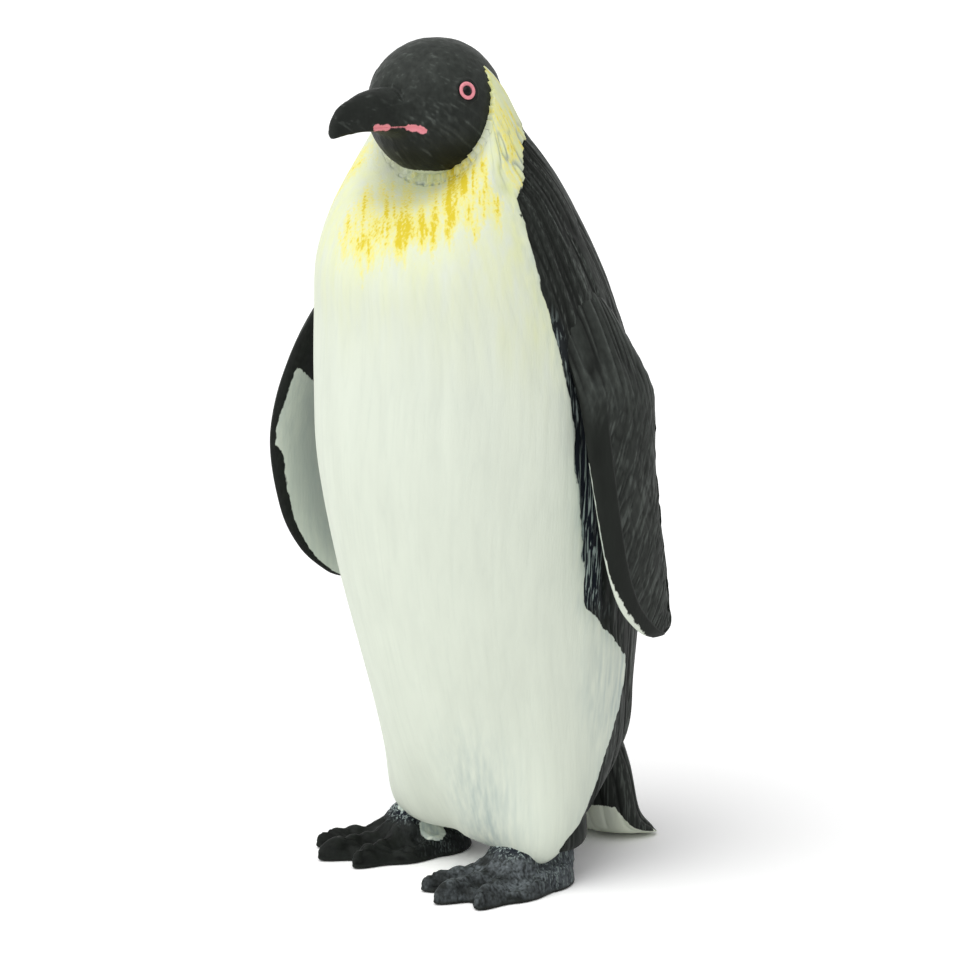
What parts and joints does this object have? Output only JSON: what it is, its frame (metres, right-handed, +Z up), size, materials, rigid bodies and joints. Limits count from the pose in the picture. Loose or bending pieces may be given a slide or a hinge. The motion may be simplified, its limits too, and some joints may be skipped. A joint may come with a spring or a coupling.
{
  "type": "penguin figurine",
  "caption": "Free-standing toy penguin: a moulded torso with trouser legs, with plugged-in head, flippers, webbed feet, tail and bead eyes.",
  "frame": {"origin": "middle of the bounding box's bottom, on the floor the soles stand on", "axes": "+Z up; the figure faces -Y and its left side is +X"},
  "size_m": [0.0532, 0.0472, 0.0985],
  "materials": {
    "body_vinyl": "hand-painted soft vinyl, cream front, charcoal back",
    "black_vinyl": "satin charcoal paint, dry-brushed grey on the feather ridges",
    "foot_vinyl": "matt charcoal paint",
    "eye_lacquer": "gloss pink ring round a black pupil"
  },
  "bodies": {
    "root": {"torso": "body_vinyl", "head": "black_vinyl", "left_flipper": "black_vinyl", "right_flipper": "black_vinyl", "left_foot": "foot_vinyl", "right_foot": "foot_vinyl", "tail": "black_vinyl", "left_eye": "eye_lacquer", "right_eye": "eye_lacquer"}
  },
  "joints": []
}
